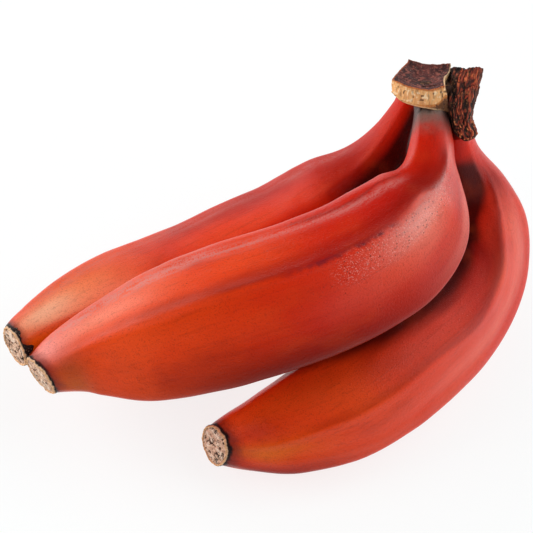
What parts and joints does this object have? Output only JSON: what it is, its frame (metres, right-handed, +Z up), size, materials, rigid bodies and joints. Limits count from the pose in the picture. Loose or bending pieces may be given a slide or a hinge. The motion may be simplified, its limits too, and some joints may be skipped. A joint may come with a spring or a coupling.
{
  "type": "red banana",
  "caption": "Short hand of ripe red bananas joined at a dark woody crown, curved and softly ridged, each ending in a dry blossom scar.",
  "frame": {"origin": "on the surface that the hand lies on, under the middle of its bounding box", "axes": "+Z up from that surface, +X from the blossom ends towards the crown's side, +Y from the free tips of the nearer bananas back towards the crown"},
  "size_m": [0.1693, 0.127, 0.0938],
  "materials": {
    "crown": "matt",
    "peel": "satin",
    "blossom_scar": "matt"
  },
  "bodies": {
    "root": {"crown": "crown", "banana_middle": "peel", "banana_rear": "peel", "banana_front": "peel"}
  },
  "joints": []
}
